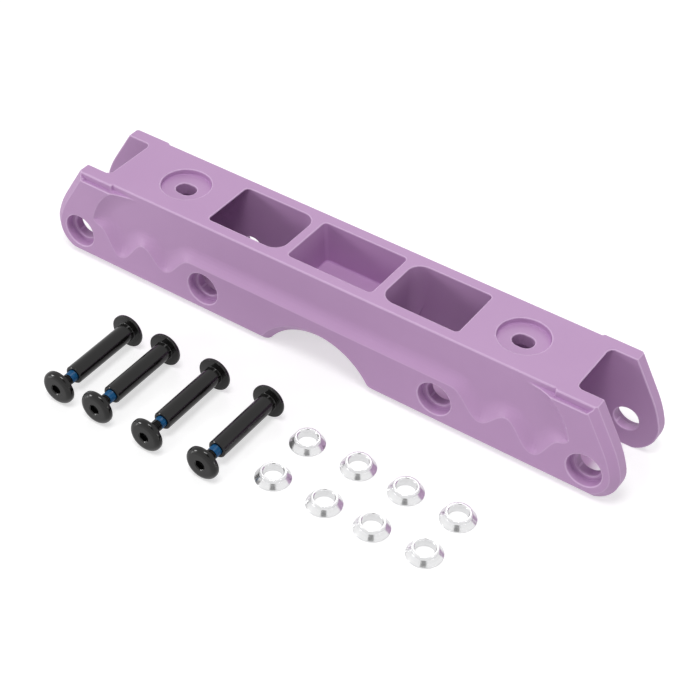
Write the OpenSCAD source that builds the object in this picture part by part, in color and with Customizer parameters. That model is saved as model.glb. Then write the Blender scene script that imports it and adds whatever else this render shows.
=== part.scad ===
// Moulded inline skate frame with its four two-piece axles and eight bearing spacers

/* [Frame] */
// Distance between the outermost axles
wheelbase = 255; // [248:1:262]
// Distance between the two inner axles
inner_span = 117.6; // [114:0.2:121]
// Height of the axles above the underside of the rails
axle_h = 13.65; // [13:0.05:14.2]
// Height of the deck above the underside of the rails
deck_h = 45.15; // [44.4:0.05:46.4]
// Width over the side walls
frame_w = 45; // [44:0.5:48]
// Width of the channel that the wheels turn in
channel_w = 28.2; // [27:0.2:29]

/* [Ear ends] */
// Radius of the rail's end round the outermost axle
end_r = 14.5; // [14.3:0.1:15.2]
// Radius of the curve that leads from there to the ear's straight edge
ear_blend_r = 50; // [40:1:70]
// Distance of the straight edge from the outermost axle
ear_reach = 15.7; // [15.5:0.1:16.5]
// Angle between the straight edge and the floor
ear_angle = 60; // [57:0.5:63]
// Height of the ledge beside the deck
ledge_h = 42.1; // [41.6:0.1:42.8]
// Half the deck's width between the ledges
ear_half_w = 20.45; // [20:0.05:21]
// Where the ledge starts, back from the outermost axle
ledge_back = 18; // [16:0.5:19]
// Depth of the groove at the ledge's inner corner
ledge_groove = 0.8; // [0.4:0.1:1.2]
// Width of that groove
groove_w = 0.9; // [0.6:0.1:1.4]

/* [Bevel] */
// Width of the bevel round the outline, seen from the side
bevel_w = 3.3; // [2.4:0.1:3.4]
// Depth of that bevel across the wall
bevel_depth = 3; // [2:0.1:3.4]

/* [Grind arch] */
// Radius of the arch
arch_r = 28.7; // [27:0.1:30]
// Height of the arch's crown above the rails
arch_rise = 15.05; // [13:0.05:16.5]
// Radius of the arch's feet
arch_foot_r = 5.8; // [4.5:0.1:6.5]

/* [Axle holes] */
// Diameter of the holes that hold the spacers' collars
axle_hole_d = 11.1; // [11:0.1:11.6]
// Diameter of the counterbores for the axle heads
head_seat_d = 15.7; // [15.3:0.1:16.2]
// Depth of the counterbores
head_seat_depth = 4; // [3:0.1:4.6]
// Chamfer where a counterbore's floor meets the hole
seat_chamfer = 0.45; // [0.2:0.05:0.8]

/* [Side recess] */
// Depth of the recess in each side wall
recess_depth = 3; // [2:0.1:3.3]
// Width of the slope at the recess's edge
recess_slope_w = 7.5; // [5:0.1:9]
// Height of the recess's edge between the inner axles
recess_edge_h = 24.5; // [23.6:0.1:25.4]
// Radius of the recess's rounded end
recess_end_r = 29.7; // [29:0.1:30.4]

/* [Deck] */
// Chamfer along the deck's long edges
deck_chamfer = 0.4; // [0.3:0.1:0.9]
// Distance between the two boot mounts
mount_span = 168.6; // [165:0.1:171]
// Diameter of the round recess at each boot mount
mount_recess_d = 22.2; // [21:0.1:22.8]
// Depth of that recess
mount_recess_depth = 2.6; // [1.5:0.1:3.2]
// Length of the mount's slot along the frame
slot_l = 9.5; // [8.5:0.1:11]
// Width of the slot
slot_w = 7.6; // [6.6:0.1:8]
// Plastic left between the recess and the screw head's seat
mount_plate = 6; // [5:0.1:7]
// Diameter of the well that takes the screw head from below
screw_well_d = 13.5; // [13:0.1:14.5]
// Length of the middle pocket
pocket_l = 41.6; // [36:0.2:43]
// Plastic left between the arch and the middle pocket
arch_roof = 10.35; // [8:0.05:12]
// Draft of the middle pocket's end walls
pocket_draft = 1.6; // [0.5:0.1:2.5]
// Thickness of the two ribs beside the middle pocket
rib_t = 4.2; // [3:0.1:5]
// How far the side windows reach past the inner axles
window_past_axle = 3.1; // [2:0.1:5]
// Corner radius of the windows beside the ribs
window_r = 6.5; // [4:0.1:8]
// Small corner radius of the pocket, the windows and the wells
corner_r = 2; // [1:0.1:3]
// How far the end wells start before the outermost axles
well_before_axle = 12.15; // [11:0.05:13]
// Radius of the end wells' upright corners
well_corner_r = 3; // [2:0.5:5]
// Clearance radius round each inner wheel
inner_wheel_r = 30.75; // [30:0.05:31]
// Clearance radius round each outer wheel
outer_wheel_r = 33; // [32.4:0.1:33.3]
// Height of the pier between two wheels above the rails
pier_h = 12; // [8:0.5:13]

/* [Axles] */
// Diameter of the axle's barrel
barrel_d = 8; // [7.8:0.05:8.1]
// Length of the barrel under its head
barrel_l = 34.4; // [30:0.1:36]
// Diameter of both heads
head_d = 15; // [14:0.1:15.2]
// Thickness of the sleeve's head
sleeve_head_t = 2.5; // [2:0.1:3.2]
// Thickness of the bolt's head
bolt_head_t = 2.9; // [2.6:0.1:3.4]
// Diameter of the bolt's thread
thread_d = 5; // [4.8:0.1:5.2]
// Length of the thread under the bolt's head
thread_l = 13; // [12:0.1:15]
// Clearance between the thread and the sleeve's bore, each side
thread_gap = 0.08; // [0.05:0.01:0.1]
// Chamfer round the sleeve's mouth
mouth_chamfer = 0.4; // [0.2:0.1:0.8]
// Chamfer at the bolt's tip
tip_chamfer = 0.5; // [0.3:0.1:0.8]
// Length of the sleeve's bore
sleeve_bore_l = 16; // [15:0.5:20]
// Gap between the sleeve's mouth and the bolt's head as the axles lie
open_gap = 8.1; // [7:0.1:9]
// Size of the hex sockets across the flats
hex_af = 4; // [3.5:0.1:4.2]
// Depth of the hex sockets
hex_depth = 2.1; // [1.5:0.1:2.3]
// Length of the blue patch on the thread
patch_l = 5; // [3:0.1:6]
// Thickness of the blue patch
patch_t = 0.3; // [0.2:0.05:0.4]
// Distance from the bolt's head to the blue patch
patch_start = 4.8; // [4:0.1:6]

/* [Spacers] */
// Diameter of the spacer's flange
flange_d = 15; // [14:0.1:16]
// Height of the spacer
spacer_h = 4.1; // [3.6:0.1:5]
// Clearance between the collar and the frame's axle hole, each side
collar_gap = 0.15; // [0.05:0.01:0.3]
// Clearance between the barrel and the spacer's bore, each side
bore_gap = 0.1; // [0.05:0.01:0.3]

/* [Hidden] */

lilac = [0.72, 0.58, 0.76];
black = [0.13, 0.13, 0.14];
blue = [0.10, 0.38, 0.62];
aluminium = [0.86, 0.87, 0.88];

outer_x = wheelbase / 2;
inner_x = inner_span / 2;
half_w = frame_w / 2;
floor_half_w = half_w - recess_depth;
window_start = pocket_l / 2 + rib_t;
window_end = inner_x + window_past_axle;
well_start = outer_x - well_before_axle;
pocket_floor = arch_rise + arch_roof;
collar_d = axle_hole_d - 2 * collar_gap;
spacer_bore_d = barrel_d + 2 * bore_gap;
cut = 1;
skim = 0.02;
dome_w = 2.4;
rim_t = 0.9;
rim_chamfer = 0.2;
flange_t = 0.7;
turned_chamfer = 0.3;
bore_chamfer = 0.4;
cone_w = 0.5;

// Where the loose pieces lie, from the frame's middle: axles by their x, spacers in two rows
axle_x = [-71.7, -51.6, -25.6, 1.8];
sleeve_face_y = -58.3;
extra_gap = [0, 0, 0.7, 0];
spacer_at = [[24.7, -62.4], [48.9, -61.7], [71.5, -62], [95.5, -62],
             [24.8, -86.2], [49.1, -86], [71.1, -85.8], [94.6, -85.1]];
bolt_back_y = [for (e = extra_gap) sleeve_face_y - barrel_l - open_gap - e];
front_y = min(bolt_back_y) - bolt_head_t;
kit_shift = -(half_w + front_y) / 2;

function arc(c, r, a0, a1, steps, first = 0) =
    [for (i = [first:steps]) c + r * [cos(a0 + (a1 - a0) * i / steps), sin(a0 + (a1 - a0) * i / steps)]];
function mirrored(pts) = [for (i = [len(pts) - 1:-1:0]) [-pts[i][0], pts[i][1]]];

// Outline of one half seen from the side, from the arch's crown to the ear's tip
arch_c = [0, arch_rise - arch_r];
foot_c = [sqrt(pow(arch_r + arch_foot_r, 2) - pow(arch_foot_r - arch_c[1], 2)), arch_foot_r];
foot_a = atan2(foot_c[1] - arch_c[1], foot_c[0]);
end_c = [outer_x, axle_h];
end_a = -acos(sqrt(end_r * end_r - axle_h * axle_h) / end_r);
edge_n = [sin(ear_angle), cos(ear_angle)];
edge_u = [-cos(ear_angle), sin(ear_angle)];
blend_in = ear_blend_r - ear_reach;
blend_along = sqrt(pow(ear_blend_r - end_r, 2) - blend_in * blend_in);
blend_c = end_c - blend_in * edge_n + blend_along * edge_u;
blend_a = atan2(end_c[1] - blend_c[1], end_c[0] - blend_c[0]);
function edge_at(z) = let (p = end_c + ear_reach * edge_n) p + edge_u * (z - p[1]) / edge_u[1];
half_curve = concat(
    arc(arch_c, arch_r, 90, foot_a, 12, 1),
    arc(foot_c, arch_foot_r, foot_a + 180, 270, 6, 1),
    arc(end_c, end_r, end_a, blend_a, 14),
    arc(blend_c, ear_blend_r, blend_a, 90 - ear_angle, 4, 1));
crown = [[0, arch_rise]];
outline = concat([edge_at(deck_h)], [for (i = [len(half_curve) - 1:-1:0]) half_curve[i]], crown,
                 mirrored([for (i = [len(half_curve) - 1:-1:0]) half_curve[i]]),
                 [[-edge_at(deck_h)[0], deck_h]]);
bevel_path = concat(mirrored([edge_at(deck_h + 3)]), mirrored(half_curve), crown, half_curve,
                    [edge_at(deck_h + 3)]);

// Outward normals of the bevel's path, lengthened at its corners
function edge_normal(a, b) = let (d = (b - a) / norm(b - a)) [d[1], -d[0]];
function corner_normal(p, i) =
    let (a = edge_normal(p[max(i - 1, 0)], p[max(i, 1)]),
         b = edge_normal(p[min(i, len(p) - 2)], p[min(i + 1, len(p) - 1)]))
    (a + b) / (1 + a * b);

// Edge of the wavy recess: its crests and troughs, from the outermost axle and the straight edge's height
wave = [for (p = [[-61.5, 0], [-47.5, -11.6], [-36, -3.1], [-23.5, -14.9], [-22.2, -14.9],
                  [-12, -2.6], [-8.9, -1.3]])
        [outer_x + p[0], recess_edge_h + p[1]]];
recess_c = [outer_x - 37.4, recess_edge_h - 5.7];
function wave_between(a, b, u) =
    let (t = (u - a[0]) / (b[0] - a[0])) a[1] + (b[1] - a[1]) * (1 - cos(180 * t)) / 2;
function wave_z(u, i = 0) =
    u <= wave[0][0] ? wave[0][1]
    : i >= len(wave) - 1 ? wave[len(wave) - 1][1]
    : u <= wave[i + 1][0] ? wave_between(wave[i], wave[i + 1], u)
    : wave_z(u, i + 1);
recess_edge = concat(
    [[-wave[0][0], recess_edge_h]],
    [for (u = [wave[0][0]:1.1:wave[len(wave) - 1][0]]) [u, wave_z(u)]],
    arc(recess_c, recess_end_r, 10, 74, 12));
// Distance to the edge as a smooth field: each stretch pulls with the fifth power of its nearness, integrated
// along it, and a long straight edge gives its true distance, so two slopes meet in a round hollow
function pull_along(s, h2) = s * (3 * h2 + 2 * s * s) / (3 * h2 * h2 * pow(h2 + s * s, 1.5));
function edge_pull(p, a, b) =
    let (run = norm(b - a), s = (p - a) * (b - a) / run, h2 = max((p - a) * (p - a) - s * s, 0.0001))
    pull_along(run - s, h2) + pull_along(s, h2);
function sum(v, i = 0) = i < len(v) ? v[i] + sum(v, i + 1) : 0;
function edge_gap(p) =
    let (pulls = [for (i = [0:len(recess_edge) - 2]) edge_pull(p, recess_edge[i], recess_edge[i + 1])])
    pow(4 / 3 / sum(pulls), 1 / 4);
function in_recess(p) = p[1] > wave_z(p[0]) && (p[0] < recess_c[0] || norm(p - recess_c) < recess_end_r);

// Depth of the recess: a hollow slope that runs out into the flat floor
function slope_depth(d) = d >= recess_slope_w ? recess_depth
    : d > 0 ? recess_depth * (1 - pow(1 - d / recess_slope_w, 2))
    : max(-cut, 2 * recess_depth / recess_slope_w * d);
function depth_at(p) = let (d = edge_gap(p)) slope_depth(in_recess(p) ? d : -d);

// Grid for the recess: rows meet the straight edge, columns are close only in the waves
fine_step = 1.6;
fine_top = recess_edge_h + 6 * fine_step;
row_z = concat([for (i = [-10:6]) recess_edge_h + i * fine_step],
               [for (i = [1:6]) fine_top + i * (deck_h + cut - fine_top) / 6]);
wave_start = wave[0][0] - 4;
fine_u = [for (i = [0:37]) wave_start + i * fine_step];
col_x = concat([for (i = [len(fine_u) - 1:-1:0]) -fine_u[i]], fine_u);
half_depths = [for (u = fine_u) [for (z = row_z) depth_at([u, z])]];
col_depths = concat([for (i = [len(fine_u) - 1:-1:0]) half_depths[i]], half_depths);

module round_rect(x0, x1, half, r0, r1) {
    translate([x0 + r0, -half]) square([x1 - r1 - x0 - r0, 2 * half]);
    translate([x0, r0 - half]) square([x1 - x0, 2 * (half - max(r0, r1))]);
    translate([x0, r0 - half]) square([r0, 2 * (half - r0)]);
    translate([x1 - r1, r1 - half]) square([r1, 2 * (half - r1)]);
    for (s = [-1, 1]) {
        translate([x0 + r0, s * (half - r0)]) circle(r0, $fn = 48);
        translate([x1 - r1, s * (half - r1)]) circle(r1, $fn = 48);
    }
}

module both_ends() {
    children();
    mirror([1, 0, 0]) children();
}

module both_sides() {
    children();
    mirror([0, 1, 0]) children();
}

module across(width) {
    rotate([90, 0, 0]) linear_extrude(width, center = true) children();
}

// Room for the wheels under the deck, with a pier left between two wheels
module wheel_room() {
    across(channel_w) {
        translate([inner_x, axle_h]) circle(inner_wheel_r, $fn = 120);
        translate([outer_x, axle_h]) circle(outer_wheel_r, $fn = 120);
        translate([inner_x - inner_wheel_r, -cut]) square([2 * inner_wheel_r, axle_h + cut]);
        translate([outer_x - outer_wheel_r, -cut]) square([2 * outer_wheel_r, axle_h + cut]);
        translate([inner_x, -cut]) square([outer_x - inner_x, pier_h + cut]);
    }
}

module side_window() {
    translate([0, 0, -cut]) linear_extrude(deck_h + 2 * cut)
        round_rect(window_start, window_end, channel_w / 2, window_r, corner_r);
}

module end_well() {
    translate([0, 0, -cut]) linear_extrude(deck_h + 2 * cut)
        round_rect(well_start, outer_x + 2 * end_r, channel_w / 2, well_corner_r, well_corner_r);
}

module middle_pocket() {
    floor_l = pocket_l - 2 * pocket_draft;
    hull() {
        translate([0, 0, pocket_floor]) linear_extrude(skim / 2)
            round_rect(-floor_l / 2, floor_l / 2, channel_w / 2, corner_r, corner_r);
        translate([0, 0, deck_h]) linear_extrude(cut)
            round_rect(-pocket_l / 2, pocket_l / 2, channel_w / 2, corner_r, corner_r);
    }
}

module boot_mount() {
    slot_x = (slot_l - slot_w) / 2;
    translate([mount_span / 2, 0, 0]) {
        translate([0, 0, deck_h - mount_recess_depth])
            cylinder(d = mount_recess_d, h = mount_recess_depth + cut, $fn = 96);
        for (s = [-1, 1]) translate([s * slot_x, 0, axle_h]) cylinder(d = slot_w, h = deck_h, $fn = 48);
        translate([-slot_x, -slot_w / 2, axle_h]) cube([2 * slot_x, slot_w, deck_h]);
        translate([0, 0, -cut])
            cylinder(d = screw_well_d, h = deck_h - mount_recess_depth - mount_plate + cut, $fn = 64);
    }
}

// Hole for one axle, with its counterbore and a chamfer between the two
module axle_hole(x) {
    hole_r = axle_hole_d / 2;
    both_sides() translate([x, -half_w, axle_h]) rotate([-90, 0, 0]) rotate_extrude($fn = 96)
        polygon([[0, -cut], [head_seat_d / 2, -cut], [head_seat_d / 2, head_seat_depth],
                 [hole_r + seat_chamfer, head_seat_depth], [hole_r, head_seat_depth + seat_chamfer],
                 [hole_r, half_w + cut], [0, half_w + cut]]);
}

// Triangular cutter that runs round the outline of the near wall
module bevel_cutter() {
    over = 1 / 6;
    out_n = over * bevel_w;
    in_n = (1 + over) * bevel_w;
    skin_y = -half_w - over * bevel_depth;
    root_y = -half_w + (1 + over) * bevel_depth;
    last = len(bevel_path) - 1;
    points = [for (i = [0:last]) let (p = bevel_path[i], n = corner_normal(bevel_path, i),
                                      a = p + out_n * n, b = p - in_n * n)
              each [[a[0], root_y, a[1]], [b[0], skin_y, b[1]], [a[0], skin_y, a[1]]]];
    faces = concat([[0, 1, 2], [3 * last + 2, 3 * last + 1, 3 * last]],
                   [for (i = [0:last - 1], k = [0:2]) let (m = (k + 1) % 3)
                    each [[3 * i + m, 3 * i + k, 3 * i + 3 + k], [3 * i + m, 3 * i + 3 + k, 3 * i + 3 + m]]]);
    polyhedron(points, faces);
}

// Cutter for the near wall's recess, its inner face shaped by the depths on the grid
module recess_cutter() {
    nx = len(col_x);
    nz = len(row_z);
    back_y = -half_w - 2 * cut;
    surface = [for (i = [0:nx - 1], k = [0:nz - 1]) [col_x[i], col_depths[i][k] - half_w, row_z[k]]];
    back = [[col_x[0], back_y, row_z[0]], [col_x[nx - 1], back_y, row_z[0]],
            [col_x[nx - 1], back_y, row_z[nz - 1]], [col_x[0], back_y, row_z[nz - 1]]];
    b = nx * nz;
    faces = concat(
        [for (i = [0:nx - 2], k = [0:nz - 2]) let (a = i * nz + k)
         each [[a, a + nz + 1, a + 1], [a, a + nz, a + nz + 1]]],
        [[b + 3, b + 2, b + 1, b]],
        [concat([b, b + 1], [for (i = [nx - 1:-1:0]) i * nz])],
        [concat([b + 2, b + 3], [for (i = [0:nx - 1]) i * nz + nz - 1])],
        [concat([b + 3, b], [for (k = [0:nz - 1]) k])],
        [concat([b + 1, b + 2], [for (k = [nz - 1:-1:0]) (nx - 1) * nz + k])]);
    polyhedron(concat(surface, back), faces);
}

// Extrudes a section, drawn across the frame, along it
module along(x0, x1) {
    translate([x0, 0, 0]) rotate([90, 0, 90]) linear_extrude(x1 - x0) children();
}

// Ledge beside the deck at one ear, with a groove along its inner corner, and the deck's chamfered edge
module ledge_cutter() {
    start = outer_x - ledge_back;
    tip_x = edge_at(deck_h)[0];
    ledge_end = tip_x - (deck_h - ledge_h);
    top = deck_h + cut;
    room = half_w + cut;
    inner_y = floor_half_w + skim;
    translate([0, -room, 0]) rotate([90, 0, 0]) mirror([0, 0, 1]) linear_extrude(room - ear_half_w)
        polygon([[start, top], [start, ledge_h], [ledge_end, ledge_h], [tip_x + cut, top]]);
    along(start, ledge_end)
        polygon([[-ear_half_w, ledge_h + skim], [-ear_half_w, ledge_h - ledge_groove],
                 [-ear_half_w - groove_w, ledge_h + skim]]);
    along(start, tip_x + cut) deck_edge(ear_half_w);
    along(-cut, start) {
        translate([-room, ledge_h]) square([room - inner_y, top - ledge_h]);
        deck_edge(inner_y);
    }
}

module deck_edge(half) {
    polygon([[-half - cut, deck_h - deck_chamfer - cut], [-half + deck_chamfer + cut, deck_h + cut],
             [-half - cut, deck_h + cut]]);
}

// Side walls, deck and ears as one block, with the bevel round its outline
module bevelled_block() {
    difference() {
        across(frame_w) polygon(outline);
        both_sides() bevel_cutter();
    }
}

module hollow_block() {
    difference() {
        bevelled_block();
        middle_pocket();
        both_ends() {
            both_sides() ledge_cutter();
            wheel_room();
            side_window();
            end_well();
            boot_mount();
            axle_hole(inner_x);
            axle_hole(outer_x);
        }
    }
}

module frame() {
    color(lilac) translate([0, kit_shift, 0]) difference() {
        hollow_block();
        both_sides() recess_cutter();
    }
}

// Half section of a domed head, with its face at zero and its seat at the thickness
module head_section(t) {
    face_r = head_d / 2 - dome_w;
    polygon(concat([[0, 0], [face_r, 0]],
                   [for (a = [15:15:90]) [face_r + dome_w * sin(a), (t - rim_t) * (1 - cos(a))]],
                   [[head_d / 2, t - rim_chamfer], [head_d / 2 - rim_chamfer, t], [0, t]]));
}

module hex_socket() {
    translate([0, 0, -cut]) cylinder(d = hex_af / cos(30), h = hex_depth + cut, $fn = 6);
}

// Round pin with a chamfered tip
module pin(d, start, end, tip) {
    rotate_extrude($fn = 64)
        polygon([[0, start], [d / 2, start], [d / 2, end - tip], [d / 2 - tip, end], [0, end]]);
}

// Lays a piece that is drawn along +Z on the floor, pointing away from the frame's front
module lay(i, y, flip = 1) {
    translate([axle_x[i - 1], kit_shift + y, head_d / 2]) rotate([-90 * flip, 0, 0]) children();
}

module axle_sleeve(i) {
    whole = sleeve_head_t + barrel_l;
    color(black) lay(i, sleeve_face_y + sleeve_head_t, -1) difference() {
        union() {
            rotate_extrude($fn = 72) head_section(sleeve_head_t);
            pin(barrel_d, sleeve_head_t / 2, whole, mouth_chamfer);
        }
        translate([0, 0, whole - sleeve_bore_l])
            cylinder(d = thread_d + 2 * thread_gap, h = sleeve_bore_l + cut, $fn = 48);
        hex_socket();
    }
}

module axle_bolt(i) {
    color(black) lay(i, bolt_back_y[i - 1] - bolt_head_t) difference() {
        union() {
            rotate_extrude($fn = 72) head_section(bolt_head_t);
            pin(thread_d, bolt_head_t / 2, bolt_head_t + thread_l, tip_chamfer);
        }
        hex_socket();
        translate([0, 0, bolt_head_t + patch_start]) patch_ring(cut);
    }
}

// Ring round the thread that the blue patch fills
module patch_ring(outside = 0) {
    difference() {
        cylinder(d = thread_d + 2 * outside, h = patch_l, $fn = 64);
        translate([0, 0, -cut]) cylinder(d = thread_d - 2 * patch_t, h = patch_l + 2 * cut, $fn = 64);
    }
}

module thread_patch(i) {
    color(blue) lay(i, bolt_back_y[i - 1] + patch_start) patch_ring();
}

module spacer(i) {
    bore_r = spacer_bore_d / 2;
    collar_r = collar_d / 2;
    flange_r = flange_d / 2;
    at = spacer_at[i - 1];
    color(aluminium) translate([at[0], at[1] + kit_shift, 0]) rotate_extrude($fn = 72)
        polygon([[bore_r, 0], [flange_r - turned_chamfer, 0], [flange_r, turned_chamfer], [flange_r, flange_t],
                 [collar_r + cone_w, spacer_h / 2], [collar_r, spacer_h / 2 + 0.8 * cone_w],
                 [collar_r, spacer_h - turned_chamfer], [collar_r - turned_chamfer, spacer_h],
                 [bore_r + bore_chamfer, spacer_h], [bore_r, spacer_h - bore_chamfer]]);
}

module axle_sleeve_1() { axle_sleeve(1); }
module axle_sleeve_2() { axle_sleeve(2); }
module axle_sleeve_3() { axle_sleeve(3); }
module axle_sleeve_4() { axle_sleeve(4); }
module axle_bolt_1() { axle_bolt(1); }
module axle_bolt_2() { axle_bolt(2); }
module axle_bolt_3() { axle_bolt(3); }
module axle_bolt_4() { axle_bolt(4); }
module thread_patch_1() { thread_patch(1); }
module thread_patch_2() { thread_patch(2); }
module thread_patch_3() { thread_patch(3); }
module thread_patch_4() { thread_patch(4); }
module spacer_1() { spacer(1); }
module spacer_2() { spacer(2); }
module spacer_3() { spacer(3); }
module spacer_4() { spacer(4); }
module spacer_5() { spacer(5); }
module spacer_6() { spacer(6); }
module spacer_7() { spacer(7); }
module spacer_8() { spacer(8); }

frame();
axle_sleeve_1();
axle_sleeve_2();
axle_sleeve_3();
axle_sleeve_4();
axle_bolt_1();
axle_bolt_2();
axle_bolt_3();
axle_bolt_4();
thread_patch_1();
thread_patch_2();
thread_patch_3();
thread_patch_4();
spacer_1();
spacer_2();
spacer_3();
spacer_4();
spacer_5();
spacer_6();
spacer_7();
spacer_8();
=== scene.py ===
import math

import bmesh
import bpy
from mathutils import Matrix, Vector, noise


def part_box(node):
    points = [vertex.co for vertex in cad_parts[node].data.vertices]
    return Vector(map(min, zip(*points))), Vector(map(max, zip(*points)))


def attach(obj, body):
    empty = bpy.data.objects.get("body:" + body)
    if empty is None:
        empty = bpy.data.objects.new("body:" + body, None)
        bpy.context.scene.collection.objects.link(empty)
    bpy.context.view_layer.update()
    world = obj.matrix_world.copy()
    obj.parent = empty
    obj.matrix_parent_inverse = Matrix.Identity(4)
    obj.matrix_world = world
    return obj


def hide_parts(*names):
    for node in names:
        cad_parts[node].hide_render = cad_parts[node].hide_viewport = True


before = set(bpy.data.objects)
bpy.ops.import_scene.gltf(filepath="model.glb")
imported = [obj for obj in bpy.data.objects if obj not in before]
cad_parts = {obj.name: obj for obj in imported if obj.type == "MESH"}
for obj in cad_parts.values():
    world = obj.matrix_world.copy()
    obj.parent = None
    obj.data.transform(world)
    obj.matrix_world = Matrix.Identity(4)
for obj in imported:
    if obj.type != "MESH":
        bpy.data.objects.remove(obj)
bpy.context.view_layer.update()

mm = 0.001
axleNumbers = range(1, 5)
spacerNumbers = range(1, 9)
print("frame loaded:", len(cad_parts), "solids")


# scene helpers
def direction(azimuth, elevation):
    # unit vector away from the middle, at an azimuth counted from the front
    level = math.cos(elevation)
    return Vector((math.sin(azimuth) * level, -math.cos(azimuth) * level, math.sin(elevation)))


def addObject(name, data):
    item = bpy.data.objects.new(name, data)
    bpy.context.scene.collection.objects.link(item)
    return item


# camera, at the photograph's viewing angle
cameraView = {
    "place": (0.3002065, -0.4404455, 0.4904359),
    "azimuth": 0.551823161,
    "elevation": 0.719076451,
    "roll": 0.0573755417,
    "lens": 89.287,
    "sensor": 36,
    "clip": (0.01, 20),
}


def makeCamera(view):
    roll = view["roll"]
    away = direction(view["azimuth"], view["elevation"])
    level = (-away).cross(Vector((0, 0, 1))).normalized()
    rise = level.cross(-away)
    right = level * math.cos(roll) + rise * math.sin(roll)
    up = rise * math.cos(roll) - level * math.sin(roll)
    turn = Matrix((right, up, away)).transposed().to_4x4()
    data = bpy.data.cameras.new("photoCamera")
    data.lens = view["lens"]
    data.sensor_width = view["sensor"]
    data.clip_start, data.clip_end = view["clip"]
    camera = addObject("photoCamera", data)
    camera.matrix_world = Matrix.Translation(view["place"]) @ turn
    return camera


bpy.context.scene.camera = makeCamera(cameraView)
bpy.context.scene.view_settings.view_transform = "Standard"
print("camera placed")


# shader helpers
def addNode(tree, kind, **settings):
    node = tree.nodes.new(kind)
    for name, value in settings.items():
        setattr(node, name, value)
    return node


def setInputs(node, values):
    for name, value in values.items():
        node.inputs[name].default_value = value
    return node


def feed(tree, value, socket):
    # a plain number or colour is set on the socket, and an output is linked to it
    if isinstance(value, (int, float, tuple)):
        socket.default_value = value
    else:
        tree.links.new(value, socket)


def newGroup(name, inputs, outputs):
    group = bpy.data.node_groups.new(name, "ShaderNodeTree")
    kind = "NodeSocketFloat"
    for socketName, value in inputs.items():
        socket = group.interface.new_socket(socketName, in_out="INPUT", socket_type=kind)
        socket.default_value = value
    for socketName in outputs:
        group.interface.new_socket(socketName, in_out="OUTPUT", socket_type=kind)
    return group, addNode(group, "NodeGroupInput"), addNode(group, "NodeGroupOutput")


def mathNode(tree, operation, first, second=None, clamp=False):
    node = addNode(tree, "ShaderNodeMath", operation=operation, use_clamp=clamp)
    feed(tree, first, node.inputs[0])
    if second is not None:
        feed(tree, second, node.inputs[1])
    return node.outputs[0]


def mixColour(tree, factor, first, second):
    node = addNode(tree, "ShaderNodeMix", data_type="RGBA")
    for value, i in ((factor, 0), (first, 6), (second, 7)):  # the colour sockets of the Mix node
        feed(tree, value, node.inputs[i])
    return node.outputs[2]


def splitVector(tree, vector):
    node = addNode(tree, "ShaderNodeSeparateXYZ")
    tree.links.new(vector, node.inputs[0])
    return node.outputs


def noiseAt(tree, place, values):
    node = setInputs(addNode(tree, "ShaderNodeTexNoise"), values)
    tree.links.new(place, node.inputs["Vector"])
    return node


# effects that several materials share
def makeMouldedGrain():
    # fine spark-eroded grain of a mould and a slow mottle over it
    scales = {"Grain Scale": 2600.0, "Mottle Scale": 70.0}
    group, start, end = newGroup("mouldedGrain", scales, ["Height", "Mottle"])
    place = addNode(group, "ShaderNodeTexCoord").outputs["Object"]
    grain = noiseAt(group, place, {"Detail": 4.0, "Roughness": 0.62})
    mottle = noiseAt(group, place, {"Detail": 3.0, "Roughness": 0.5})
    group.links.new(start.outputs["Grain Scale"], grain.inputs["Scale"])
    group.links.new(start.outputs["Mottle Scale"], mottle.inputs["Scale"])
    group.links.new(grain.outputs[0], end.inputs["Height"])
    group.links.new(mottle.outputs[0], end.inputs["Mottle"])
    return group


def makeEdgeWearAndPaintedLight():
    # mask of outer edges: plating wear on the steel and the patch, and a painted highlight
    # along the nylon's edges; with From above To it masks the hollows instead, for painted shade
    limits = {"From": 0.52, "To": 0.62, "Break Up": 0.3}
    group, start, end = newGroup("edgeWearAndPaintedLight", limits, ["Mask"])
    point = addNode(group, "ShaderNodeNewGeometry").outputs["Pointiness"]
    ramp = addNode(group, "ShaderNodeMapRange")
    group.links.new(point, ramp.inputs["Value"])
    group.links.new(start.outputs["From"], ramp.inputs["From Min"])
    group.links.new(start.outputs["To"], ramp.inputs["From Max"])
    place = addNode(group, "ShaderNodeTexCoord").outputs["Object"]
    patchy = noiseAt(group, place, {"Scale": 420.0, "Detail": 3.0})
    lost = mathNode(group, "MULTIPLY", patchy.outputs[0], start.outputs["Break Up"])
    kept = mathNode(group, "SUBTRACT", 1.0, lost)
    mask = mathNode(group, "MULTIPLY", ramp.outputs[0], kept, clamp=True)
    group.links.new(mask, end.inputs["Mask"])
    return group


def makeTurningMarks():
    # rings that a lathe tool leaves round the piece's own axis
    ringRate, ringHeight = 2.1, 0.3
    marks = {"Rings Per Metre": 9000.0, "Unevenness": 0.5}
    group, start, end = newGroup("turningMarks", marks, ["Height", "Streak"])
    place = addNode(group, "ShaderNodeTexCoord").outputs["Object"]
    x, y, z = splitVector(group, place)
    square = [mathNode(group, "MULTIPLY", side, side) for side in (x, y)]
    radius = mathNode(group, "SQRT", mathNode(group, "ADD", square[0], square[1]))
    along = mathNode(group, "ADD", radius, z)  # rings on faces and on barrels alike
    phase = mathNode(group, "MULTIPLY", along, start.outputs["Rings Per Metre"])
    uneven = addNode(group, "ShaderNodeTexNoise", noise_dimensions="1D")
    setInputs(uneven, {"Scale": 1.0, "Detail": 2.0})
    group.links.new(phase, uneven.inputs["W"])
    ring = mathNode(group, "SINE", mathNode(group, "MULTIPLY", phase, ringRate))
    waver = mathNode(group, "MULTIPLY", uneven.outputs[0], start.outputs["Unevenness"])
    height = mathNode(group, "ADD", mathNode(group, "MULTIPLY", ring, ringHeight), waver)
    group.links.new(height, end.inputs["Height"])
    group.links.new(uneven.outputs[0], end.inputs["Streak"])
    return group


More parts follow.
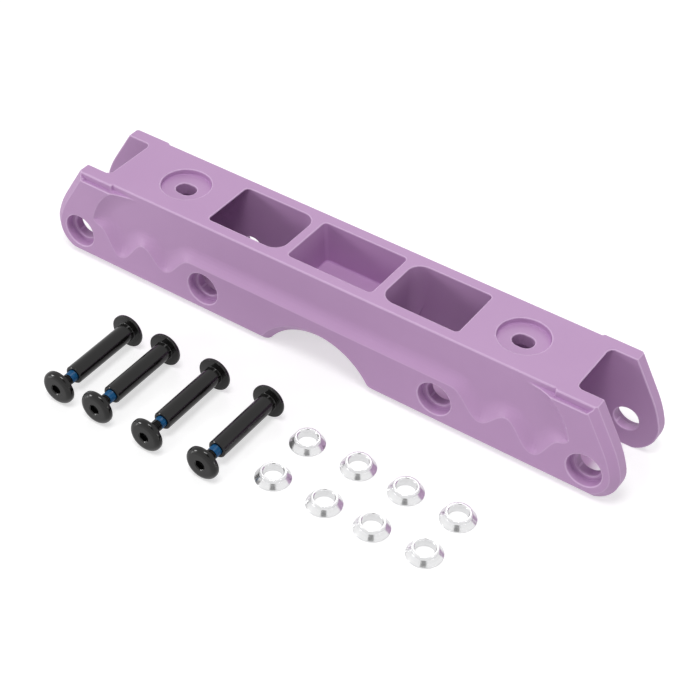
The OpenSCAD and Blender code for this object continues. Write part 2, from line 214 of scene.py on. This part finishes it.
sharedEffects = {
    "mouldedGrain": makeMouldedGrain(),
    "edgeWearAndPaintedLight": makeEdgeWearAndPaintedLight(),
    "turningMarks": makeTurningMarks(),
}
print("shared effects made")


def useEffect(tree, name, values):
    return setInputs(addNode(tree, "ShaderNodeGroup", node_tree=sharedEffects[name]), values)


def newMaterial(name):
    material = bpy.data.materials.new(name)
    material.use_nodes = True
    tree = material.node_tree
    return material, tree, tree.nodes["Principled BSDF"]


def spreadRoughness(tree, shader, mask, limits):
    low, high = limits
    rough = mathNode(tree, "ADD", mathNode(tree, "MULTIPLY", mask, high - low), low)
    tree.links.new(rough, shader.inputs["Roughness"])


def addBump(tree, shader, height, bump):
    strength, depth = bump
    node = setInputs(addNode(tree, "ShaderNodeBump"), {"Strength": strength, "Distance": depth})
    tree.links.new(height, node.inputs["Height"])
    tree.links.new(node.outputs[0], shader.inputs["Normal"])


# materials; each bump is a strength and a depth
nylonLook = {
    "colour": (0.530, 0.318, 0.552, 1),
    "shade": (0.500, 0.295, 0.526, 1),
    # painted highlight: the lighter edge colour along the convex edges
    "edge": (0.76, 0.56, 0.79, 1),
    "edgeWearAndHighlightShare": 0.65,
    "edgeWearAndHighlightMask": {"From": 0.507, "To": 0.528, "Break Up": 0.25},
    # painted shade: the darker colour for concave creases and the feet of walls
    "hollow": (0.400, 0.200, 0.440, 1),
    "hollowShare": 0.6,
    "hollowMask": {"From": 0.495, "To": 0.478, "Break Up": 0.2},
    "roughness": (0.42, 0.54),
    "specular": 0.50,
    "grain": {"Grain Scale": 2400.0, "Mottle Scale": 55.0},
    "bump": (0.35, 0.05 * mm),
    "bevelTilt": 0.74,  # sideways part of the bevel's normal
    "bevelSpread": 0.07,
    "deckTilt": 0.5,  # above this upward part a face belongs to the deck
}


def offBevel(tree, look):
    # 0 on the flat of the outline's bevel, where facets would light up the edge mask,
    # and 1 elsewhere
    normal = addNode(tree, "ShaderNodeNewGeometry").outputs["True Normal"]
    sideways, upward = splitVector(tree, normal)[1:3]
    spread = look["bevelSpread"]
    tilt = mathNode(tree, "SUBTRACT", mathNode(tree, "ABSOLUTE", sideways), look["bevelTilt"])
    gap = mathNode(tree, "SUBTRACT", mathNode(tree, "ABSOLUTE", tilt), spread)
    free = mathNode(tree, "DIVIDE", gap, spread, clamp=True)
    deck = mathNode(tree, "GREATER_THAN", upward, look["deckTilt"])
    return mathNode(tree, "MAXIMUM", free, deck)


def makeLilacNylon(look):
    material, tree, shader = newMaterial("lilacNylon")
    grain = useEffect(tree, "mouldedGrain", look["grain"])
    edge = useEffect(tree, "edgeWearAndPaintedLight", look["edgeWearAndHighlightMask"]).outputs["Mask"]
    hollow = useEffect(tree, "edgeWearAndPaintedLight", look["hollowMask"]).outputs["Mask"]
    body = mixColour(tree, grain.outputs["Mottle"], look["colour"], look["shade"])
    # painted shade: the hollows get the darker colour
    hollowShadeAmount = mathNode(tree, "MULTIPLY", hollow, look["hollowShare"])
    body = mixColour(tree, hollowShadeAmount, body, look["hollow"])
    # painted highlight on the convex edges, left off the flat of the bevel
    highlightShare = mathNode(tree, "MULTIPLY", offBevel(tree, look), look["edgeWearAndHighlightShare"])
    paintedHighlight = mathNode(tree, "MULTIPLY", edge, highlightShare)
    tree.links.new(mixColour(tree, paintedHighlight, body, look["edge"]), shader.inputs["Base Color"])
    spreadRoughness(tree, shader, grain.outputs["Height"], look["roughness"])
    shader.inputs["Specular IOR Level"].default_value = look["specular"]
    addBump(tree, shader, grain.outputs["Height"], look["bump"])
    return material


steelLook = {
    "colour": (0.0045, 0.004, 0.004, 1),
    "worn": (0.075, 0.070, 0.068, 1),
    "edgeWearAndHighlightShare": 0.6,
    "edgeWearAndHighlightMask": {"From": 0.55, "To": 0.72, "Break Up": 0.8},
    "roughness": (0.08, 0.17),
    "specular": 0.40,
    "turning": {"Rings Per Metre": 7000.0, "Unevenness": 0.7},
    "bump": (0.2, 0.02 * mm),
}


def makeBlackSteel(look):
    material, tree, shader = newMaterial("blackSteel")
    turned = useEffect(tree, "turningMarks", look["turning"])
    edge = useEffect(tree, "edgeWearAndPaintedLight", look["edgeWearAndHighlightMask"]).outputs["Mask"]
    worn = mathNode(tree, "MULTIPLY", edge, look["edgeWearAndHighlightShare"])
    tree.links.new(mixColour(tree, worn, look["colour"], look["worn"]), shader.inputs["Base Color"])
    spreadRoughness(tree, shader, turned.outputs["Streak"], look["roughness"])
    shader.inputs["Specular IOR Level"].default_value = look["specular"]
    addBump(tree, shader, turned.outputs["Height"], look["bump"])
    return material


patchLook = {
    "colour": (0.0, 0.042, 0.145, 1),
    "pale": (0.0, 0.115, 0.280, 1),
    "edgeWearAndHighlightShare": 0.5,
    "edgeWearAndHighlightMask": {"From": 0.52, "To": 0.62, "Break Up": 0.5},
    "roughness": (0.26, 0.44),
    "specular": 0.25,
    "grain": {"Grain Scale": 3600.0, "Mottle Scale": 900.0},
    "bump": (0.5, 0.08 * mm),
}


def makeBluePatch(look):
    material, tree, shader = newMaterial("bluePatch")
    grain = useEffect(tree, "mouldedGrain", look["grain"])
    edge = useEffect(tree, "edgeWearAndPaintedLight", look["edgeWearAndHighlightMask"]).outputs["Mask"]
    body = mixColour(tree, grain.outputs["Mottle"], look["colour"], look["pale"])
    rubbed = mathNode(tree, "MULTIPLY", edge, look["edgeWearAndHighlightShare"])
    tree.links.new(mixColour(tree, rubbed, body, look["pale"]), shader.inputs["Base Color"])
    spreadRoughness(tree, shader, grain.outputs["Height"], look["roughness"])
    shader.inputs["Specular IOR Level"].default_value = look["specular"]
    addBump(tree, shader, grain.outputs["Height"], look["bump"])
    return material


aluminiumLook = {
    "colour": (0.88, 0.88, 0.885, 1),
    "dull": (0.76, 0.76, 0.77, 1),
    "roughness": (0.13, 0.26),
    "metal": 0.86,
    "turning": {"Rings Per Metre": 6000.0, "Unevenness": 0.6},
    "bump": (0.25, 0.02 * mm),
}


def makeTurnedAluminium(look):
    material, tree, shader = newMaterial("turnedAluminium")
    turned = useEffect(tree, "turningMarks", look["turning"])
    body = mixColour(tree, turned.outputs["Streak"], look["colour"], look["dull"])
    tree.links.new(body, shader.inputs["Base Color"])
    spreadRoughness(tree, shader, turned.outputs["Streak"], look["roughness"])
    shader.inputs["Metallic"].default_value = look["metal"]
    addBump(tree, shader, turned.outputs["Height"], look["bump"])
    return material


lilacNylon = makeLilacNylon(nylonLook)
blackSteel = makeBlackSteel(steelLook)
bluePatch = makeBluePatch(patchLook)
turnedAluminium = makeTurnedAluminium(aluminiumLook)
print("materials made")


# mesh helpers
def roundCorners(points, steps=4, mostOfEdge=0.49):
    # points are (radius, height, fillet); a fillet turns its corner into an arc,
    # which takes at most that share of the edges beside it
    done = []
    for i, point in enumerate(points):
        here = Vector(point[:2])
        fillet = point[2] if len(point) > 2 else 0
        if not fillet:
            done.append(tuple(here))
            continue
        before, after = Vector(points[i - 1][:2]) - here, Vector(points[i + 1][:2]) - here
        half = before.angle(after) / 2
        most = before.length * mostOfEdge, after.length * mostOfEdge
        reach = min(fillet / math.tan(half), *most)
        radius = reach * math.tan(half)
        toBefore, toAfter = before.normalized(), after.normalized()
        centre = here + (toBefore + toAfter).normalized() * (radius / math.sin(half))
        first, last = here + toBefore * reach - centre, here + toAfter * reach - centre
        turn = first.angle_signed(last)
        for k in range(steps + 1):
            step = first.copy()
            step.rotate(Matrix.Rotation(-turn * k / steps, 2))
            done.append(tuple(centre + step))
    return done


def ringShape(radius, angle, flats):
    # flats turns the ring into a hexagon of that size across its flats
    if not flats:
        return radius
    return flats / 2 / math.cos((angle + math.pi / 6) % (math.pi / 3) - math.pi / 6)


def latheRings(bm, profile, segments=96):
    # profile holds (radius, height) or (None, height, flats); a radius of 0 is a single point
    rings = []
    for entry in profile:
        radius, height = entry[0], entry[1]
        flats = entry[2] if len(entry) > 2 else None
        if radius == 0:
            rings.append([bm.verts.new((0, 0, height))])
            continue
        ring = []
        for j in range(segments):
            angle = 2 * math.pi * j / segments
            r = ringShape(radius, angle, flats)
            ring.append(bm.verts.new((r * math.cos(angle), r * math.sin(angle), height)))
        rings.append(ring)
    for a, b in zip(rings, rings[1:]):
        for j in range(segments):
            k = (j + 1) % segments
            if len(a) == 1:
                bm.faces.new((a[0], b[k], b[j]))
            elif len(b) == 1:
                bm.faces.new((a[j], a[k], b[0]))
            else:
                bm.faces.new((a[j], a[k], b[k], b[j]))


def helixRows(bm, thread, start, end, radiusAt, segments=48):
    # one thread wound as a band: each row joins the row a whole turn further on
    lead, shares = thread["pitch"], thread["rows"]
    perTurn = len(shares)
    turns = int((end - start) / lead) + 3
    rows = []
    for k in range(perTurn * turns):
        onCrest = k % perTurn < 2
        row = []
        for j in range(segments):
            angle = 2 * math.pi * j / segments
            height = start - lead + lead * (k // perTurn + shares[k % perTurn] + j / segments)
            height = min(max(height, start), end)
            r = radiusAt(height, angle, onCrest)
            row.append(bm.verts.new((r * math.cos(angle), r * math.sin(angle), height)))
        rows.append(row)
    for k in range(len(rows) - perTurn - 1):
        for j in range(segments):
            a, b = rows[k], rows[k + 1]
            if j + 1 < segments:
                corners = (a[j], a[j + 1], b[j + 1], b[j])
            else:
                corners = (a[j], rows[k + perTurn][0], rows[k + perTurn + 1][0], b[j])
            bm.faces.new(corners)


def finishMesh(bm, name, material, placeMatrix, sharpAngle=38, weld=1e-7, shortest=1e-8):
    bmesh.ops.remove_doubles(bm, verts=bm.verts, dist=weld)
    bmesh.ops.dissolve_degenerate(bm, edges=bm.edges, dist=shortest)
    openEdges = [e for e in bm.edges if e.is_boundary]
    if openEdges:
        bmesh.ops.holes_fill(bm, edges=openEdges, sides=0)
    loose = [v for v in bm.verts if not v.link_faces]
    bmesh.ops.delete(bm, geom=loose, context="VERTS")
    bmesh.ops.recalc_face_normals(bm, faces=bm.faces)
    for face in bm.faces:
        face.smooth = True
    for edge in bm.edges:
        if len(edge.link_faces) == 2 and edge.calc_face_angle() > math.radians(sharpAngle):
            edge.smooth = False
    mesh = bpy.data.meshes.new(name)
    bm.to_mesh(mesh)
    bm.free()
    mesh.materials.append(material)
    piece = addObject(name, mesh)
    piece.matrix_world = placeMatrix
    return piece


# the moulded frame
frameShape = {"voxel": 0.30 * mm, "smoothing": 0.5, "passes": 2}


def dressFrame(shape):
    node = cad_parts["frame"]
    node.data.materials.clear()
    node.data.materials.append(lilacNylon)
    soften = node.modifiers.new("softEdges", "REMESH")
    soften.mode = "VOXEL"
    soften.voxel_size = shape["voxel"]
    soften.adaptivity = 0
    soften.use_smooth_shade = True
    settle = node.modifiers.new("settle", "SMOOTH")
    settle.factor = shape["smoothing"]
    settle.iterations = shape["passes"]


dressFrame(frameShape)
print("frame dressed")


# axles: the long sleeves
sleeveShape = {
    "headRadius": 7.5 * mm,
    "headHeight": 2.5 * mm,
    "faceEdge": (0.25 * mm, 0.01 * mm),  # width and fall of the face where the dome begins
    "domeWidth": 2.4 * mm,
    "domeSteps": 9,
    "rim": 0.9 * mm,
    "rimLip": 0.02 * mm,
    "rimFillet": 0.18 * mm,
    "neckFillet": 0.3 * mm,
    "barrelRadius": 4.0 * mm,
    "boreRadius": 2.58 * mm,
    "boreLength": 16 * mm,
    "boreTip": 0.6 * mm,
    "boreChamfer": (0.25 * mm, 0.3 * mm),
    "boreFillet": 0.05 * mm,
    "mouth": 0.4 * mm,  # chamfer round the open end
    "mouthFillets": (0.1 * mm, 0.06 * mm),
    "hexFlats": 4.0 * mm,
    "hexDepth": 2.1 * mm,
    "hexFoot": (0.02 * mm, 0.15 * mm),
    "hexFootShare": 0.97,
    "hexTop": 0.32 * mm,
    "hexChamfer": ((0.02 * mm, 0.18 * mm), (0.2 * mm, 0.0)),  # past the corners, and depth
}


def headProfile(shape):
    # hex socket, flat face, dome and rim, from the middle of the face outwards
    flats, depth = shape["hexFlats"], shape["hexDepth"]
    foot, wall = shape["hexFoot"]
    corner = flats / 2 / math.cos(math.pi / 6)
    face = shape["headRadius"] - shape["domeWidth"]
    edgeWidth, edgeFall = shape["faceEdge"]
    points = [
        (0, depth),
        (None, depth - foot, flats * shape["hexFootShare"]),
        (None, depth - wall, flats),
        (None, shape["hexTop"], flats),
    ]
    points += [(corner + past, below) for past, below in shape["hexChamfer"]]
    points += [(face - edgeWidth, 0.0), (face, edgeFall)]
    for k in range(1, shape["domeSteps"] + 1):
        a = math.radians(90 * k / shape["domeSteps"])
        fall = (shape["headHeight"] - shape["rim"]) * (1 - math.cos(a))
        points.append((face + shape["domeWidth"] * math.sin(a), edgeFall + fall))
    return points


def sleeveProfile(shape, length):
    radius, head, bore = shape["barrelRadius"], shape["headHeight"], shape["boreRadius"]
    mouth, boreEnd = shape["mouth"], length - shape["boreLength"]
    outerFillet, innerFillet = shape["mouthFillets"]
    chamferWidth, chamferDepth = shape["boreChamfer"]
    rest = roundCorners([
        (shape["headRadius"], head - shape["rim"] + shape["rimLip"]),
        (shape["headRadius"], head, shape["rimFillet"]),
        (radius, head, shape["neckFillet"]),
        (radius, length - mouth, outerFillet),
        (radius - mouth, length, innerFillet),
        (bore + chamferWidth, length, shape["boreFillet"]),
        (bore, length - chamferDepth, shape["boreFillet"]),
        (bore, boreEnd),
    ])
    return headProfile(shape) + rest + [(0, boreEnd - shape["boreTip"])]


def axleMatrix(node, faceAtFront):
    low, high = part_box(node)
    y = low.y if faceAtFront else high.y
    turn = -math.pi / 2 if faceAtFront else math.pi / 2
    place = Matrix.Translation(((low.x + high.x) / 2, y, (low.z + high.z) / 2))
    return place @ Matrix.Rotation(turn, 4, "X")


def makeSleeve(i, shape):
    node = f"axle_sleeve_{i}"
    low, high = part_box(node)
    bm = bmesh.new()
    latheRings(bm, sleeveProfile(shape, high.y - low.y))
    piece = finishMesh(bm, f"axleSleeve{i}", blackSteel, axleMatrix(node, False))
    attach(piece, f"sleeve_{i}")
    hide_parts(node)


for i in axleNumbers:
    makeSleeve(i, sleeveShape)
print("sleeves made")


# axles: the short bolts with their real threads
boltShape = dict(sleeveShape, headHeight=2.9 * mm, neckFillet=0.25 * mm)
threadShape = {
    "pitch": 0.8 * mm,
    "root": 2.05 * mm,
    "crest": 2.46 * mm,
    "rows": (0.0, 0.14, 0.5, 0.64),  # crest and root begin and end at these shares of a turn
    "begin": 0.35 * mm,  # from the head to the first turn
    "neck": 0.1 * mm,  # plain neck over the root
    "runOut": 0.7 * mm,
    "runOutSlope": 1.5,
    "tip": 0.12 * mm,  # the tip ends this far under the root
}


def makeBolt(i, shape, thread):
    node = f"axle_bolt_{i}"
    low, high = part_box(node)
    head, root = shape["headHeight"], thread["root"]
    neckEnd, start, end = head + thread["runOut"], head + thread["begin"], high.y - low.y
    neck = [
        (shape["headRadius"], head - shape["rim"] + shape["rimLip"]),
        (shape["headRadius"], head, shape["rimFillet"]),
        (root + thread["neck"], head, shape["neckFillet"]),
        (root + thread["neck"], neckEnd),
    ]
    bm = bmesh.new()
    latheRings(bm, headProfile(shape) + roundCorners(neck) + [(0, neckEnd)])

    def threadRadius(height, angle, onCrest):
        runOut = root + (height - start) * thread["runOutSlope"]
        tip = root - thread["tip"] + (end - height)
        return min(thread["crest"] if onCrest else root, runOut, tip)

    helixRows(bm, thread, start, end, threadRadius)
    piece = finishMesh(bm, f"axleBolt{i}", blackSteel, axleMatrix(node, True))
    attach(piece, f"bolt_{i}")
    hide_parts(node)


for i in axleNumbers:
    makeBolt(i, boltShape, threadShape)
print("bolts made")


# blue locking compound, baked over the thread
patchShape = {
    "film": 0.03 * mm,
    "fill": 0.14 * mm,
    "fade": 0.35 * mm,  # over this distance the film thins out
    "sink": 0.08 * mm,  # outside the film the skin hides this far under the steel
    "ragged": 0.35 * mm,
    "raggedAtTip": 0.8,
    "raggedScale": 3,
    "raggedStep": 7,  # another stretch of the noise for each patch
    "worn": (0.2 * mm, 0.0, 1.5 * mm, 0.1 * mm),
    "sharpAngle": 60,
}


def makePatch(i, shape, thread, bolt):
    node = f"thread_patch_{i}"
    low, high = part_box(node)
    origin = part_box(f"axle_bolt_{i}")[0].y
    start, end = low.y - origin + shape["worn"][i - 1], high.y - origin
    scale = shape["raggedScale"]
    bm = bmesh.new()

    def patchRadius(height, angle, onCrest):
        spot = Vector((scale * math.cos(angle), scale * math.sin(angle), shape["raggedStep"] * i))
        ragged = abs(shape["ragged"] * noise.noise(spot))
        inside = min(height - start - ragged, end - ragged * shape["raggedAtTip"] - height)
        if inside > 0:
            cover, fill = min(1, inside / shape["fade"]) * shape["film"], shape["fill"]
        else:
            cover, fill = -shape["sink"], 0
        return (thread["crest"] if onCrest else thread["root"] + fill) + cover

    # rows follow the bolt's own thread, so the film lies on its crests
    first = bolt["headHeight"] + thread["begin"]
    turns = math.floor((start - first) / thread["pitch"])
    helixRows(bm, thread, first + turns * thread["pitch"], end, patchRadius)
    place = axleMatrix(f"axle_bolt_{i}", True)
    piece = finishMesh(bm, f"threadPatch{i}", bluePatch, place, shape["sharpAngle"])
    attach(piece, f"bolt_{i}")
    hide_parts(node)


for i in axleNumbers:
    makePatch(i, patchShape, threadShape, boltShape)
print("thread patches made")


# turned bearing spacers
spacerShape = {
    "bore": 4.1 * mm,
    "seam": 2.0 * mm,  # height in the bore where the profile opens and closes
    "footFillet": 0.12 * mm,
    "flange": 7.5 * mm,
    "flangeEdge": 0.7 * mm,
    "flangeFillets": (0.22 * mm, 0.12 * mm),
    "collar": 5.4 * mm,
    "collarFillet": 0.26 * mm,
    "coneTop": 2.05 * mm,
    "coneStep": (0.5 * mm, 0.4 * mm),  # width and height of the slope up to the collar
    "coneFillet": 0.15 * mm,
    "height": 4.1 * mm,
    "mouth": 0.4 * mm,  # chamfer at the top of the bore
    "mouthFillet": 0.08 * mm,
}


def spacerProfile(shape):
    bore, flange, collar = shape["bore"], shape["flange"], shape["collar"]
    height, coneTop, mouth = shape["height"], shape["coneTop"], shape["mouth"]
    lowFillet, highFillet = shape["flangeFillets"]
    stepWidth, stepHeight = shape["coneStep"]
    return roundCorners([
        (bore, shape["seam"]),
        (bore, 0.0, shape["footFillet"]),
        (flange, 0.0, lowFillet),
        (flange, shape["flangeEdge"], highFillet),
        (collar + stepWidth, coneTop, shape["coneFillet"]),
        (collar, coneTop + stepHeight, shape["coneFillet"]),
        (collar, height, shape["collarFillet"]),
        (bore + mouth, height, shape["mouthFillet"]),
        (bore, height - mouth, shape["mouthFillet"]),
        (bore, shape["seam"]),
    ])


def makeSpacer(i, shape):
    node = f"spacer_{i}"
    low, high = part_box(node)
    bm = bmesh.new()
    latheRings(bm, spacerProfile(shape))
    place = Matrix.Translation(((low.x + high.x) / 2, (low.y + high.y) / 2, low.z))
    piece = finishMesh(bm, f"bearingSpacer{i}", turnedAluminium, place)
    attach(piece, "frame_and_spacers")
    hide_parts(node)


for i in spacerNumbers:
    makeSpacer(i, spacerShape)
print("spacers made")


# studio: white floor, even sky, four soft lamps and a grey card seen only in reflections
studio = {
    "floorSize": 6.0,
    "floorColour": 0.90,
    "floorRoughness": 0.28,
    "floorGlow": 0.58,
    "mirrorGlow": 0.42,
    "floorShadow": 0.55,
    "channelShade": {
        "middle": 40.95 * mm,
        "from": (34 * mm, -8 * mm),
        "to": (122 * mm, 8 * mm),
        "fade": 8 * mm,
        # painted light: a lilac tint for light that the frame's walls reflect onto the floor
        "paintedLilacBounce": (0.95, 0.66, 0.95, 1),
    },
    "skyStrength": 0.37,
    "lamps": {
        "topLamp": {"power": 7.0, "size": 0.5, "place": (0.08, -0.26, 1.22)},
        "backLamp": {"power": 2.2, "size": 0.7, "place": (-0.40, 1.10, 0.85)},
        "leftLamp": {"power": 5.9, "size": 0.42, "place": (-1.22, -1.00, 0.42)},
        "rightLamp": {"power": 1.2, "size": 0.30, "place": (1.20, -0.12, 0.22)},
    },
    "reflectionCard": {
        "size": (0.34, 0.50),
        "away": 0.80,
        "azimuth": 0.57,
        "elevation": 1.00,
        "grey": 0.12,
    },
}


def makeGrid(name, cells, half):
    bm = bmesh.new()
    bmesh.ops.create_grid(bm, x_segments=cells, y_segments=cells, size=half)
    mesh = bpy.data.meshes.new(name)
    bm.to_mesh(mesh)
    bm.free()
    return addObject(name, mesh)


def grey(value):
    return (value, value, value, 1)


def cameraRays(tree):
    # 1 for rays from the camera, and 1 for those that a mirror or glass shows as well
    paths = addNode(tree, "ShaderNodeLightPath").outputs
    seen = mathNode(tree, "MAXIMUM", paths["Is Camera Ray"], paths["Is Glossy Ray"])
    return paths["Is Camera Ray"], mathNode(tree, "MAXIMUM", seen, paths["Is Transmission Ray"])


def outsideChannel(tree, area):
    # 0 on the floor inside the frame's channel, where the shade is deep, and 1 all round it
    place = addNode(tree, "ShaderNodeNewGeometry").outputs["Position"]
    x, y = splitVector(tree, place)[:2]
    places = mathNode(tree, "ABSOLUTE", x), mathNode(tree, "SUBTRACT", y, area["middle"])
    gap = 0.0
    for value, low, high in zip(places, area["from"], area["to"]):
        gap = mathNode(tree, "MAXIMUM", mathNode(tree, "SUBTRACT", low, value), gap)
        gap = mathNode(tree, "MAXIMUM", mathNode(tree, "SUBTRACT", value, high), gap)
    return mathNode(tree, "DIVIDE", gap, area["fade"], clamp=True)


def makeFloor(settings):
    floor = makeGrid("studioFloor", 2, settings["floorSize"] / 2)
    material, tree, shader = newMaterial("studioFloor")
    direct, seen = cameraRays(tree)
    area = settings["channelShade"]
    outside = outsideChannel(tree, area)
    # painted light: the floor inside the channel is tinted lilac
    shown = mixColour(tree, outside, area["paintedLilacBounce"], grey(settings["floorShadow"]))
    base = mixColour(tree, seen, grey(settings["floorColour"]), shown)
    tree.links.new(base, shader.inputs["Base Color"])
    shader.inputs["Roughness"].default_value = settings["floorRoughness"]
    # lifts the seen floor to white and leaves the near shadows
    white = addNode(tree, "ShaderNodeEmission")
    atCamera = mathNode(tree, "MULTIPLY", direct, settings["floorGlow"])
    inMirrors = mathNode(tree, "MULTIPLY", seen, settings["mirrorGlow"])
    lift = mathNode(tree, "MAXIMUM", atCamera, inMirrors)
    tree.links.new(mathNode(tree, "MULTIPLY", lift, outside), white.inputs["Strength"])
    both = addNode(tree, "ShaderNodeAddShader")
    tree.links.new(shader.outputs[0], both.inputs[0])
    tree.links.new(white.outputs[0], both.inputs[1])
    tree.links.new(both.outputs[0], tree.nodes["Material Output"].inputs["Surface"])
    floor.data.materials.append(material)


def makeSky(settings):
    # plain light on the object, and white where the camera, a mirror or glass sees it
    world = bpy.data.worlds.new("studioSky")
    world.use_nodes = True
    bpy.context.scene.world = world
    tree = world.node_tree
    seen = cameraRays(tree)[1]
    gain = mathNode(tree, "MULTIPLY", seen, 1.0 - settings["skyStrength"])
    back = tree.nodes["Background"]
    back.inputs["Color"].default_value = grey(1)
    strength = mathNode(tree, "ADD", gain, settings["skyStrength"])
    tree.links.new(strength, back.inputs["Strength"])


def makeLamp(name, settings):
    data = bpy.data.lights.new(name, "AREA")
    data.shape = "DISK"
    data.size = settings["size"]
    data.energy = settings["power"]
    lamp = addObject(name, data)
    place = Vector(settings["place"])
    turned = place.to_track_quat("Z", "Y").to_matrix().to_4x4()
    lamp.matrix_world = Matrix.Translation(place) @ turned


def makeReflectionCard(settings):
    # a grey card that only shows in reflections: a painted dark reflection above the camera, with
    # no light or shadow of its own
    reflectionCard = makeGrid("reflectionOnlyCard", 1, 0.5)
    wide, high = settings["size"]
    away = direction(settings["azimuth"], settings["elevation"])
    turned = away.to_track_quat("Z", "Y").to_matrix().to_4x4()
    scaled = Matrix.Diagonal((wide, high, 1, 1))
    reflectionCard.matrix_world = Matrix.Translation(away * settings["away"]) @ turned @ scaled
    material, tree, shader = newMaterial("reflectionOnlyCard")
    tree.nodes.remove(shader)
    glow = setInputs(addNode(tree, "ShaderNodeEmission"), {"Strength": settings["grey"]})
    tree.links.new(glow.outputs[0], tree.nodes["Material Output"].inputs["Surface"])
    reflectionCard.data.materials.append(material)
    reflectionCard.visible_camera = False
    reflectionCard.visible_diffuse = False
    reflectionCard.visible_shadow = False


makeFloor(studio)
makeSky(studio)
makeReflectionCard(studio["reflectionCard"])
for name, settings in studio["lamps"].items():
    makeLamp(name, settings)
print("studio made")

bpy.context.view_layer.update()
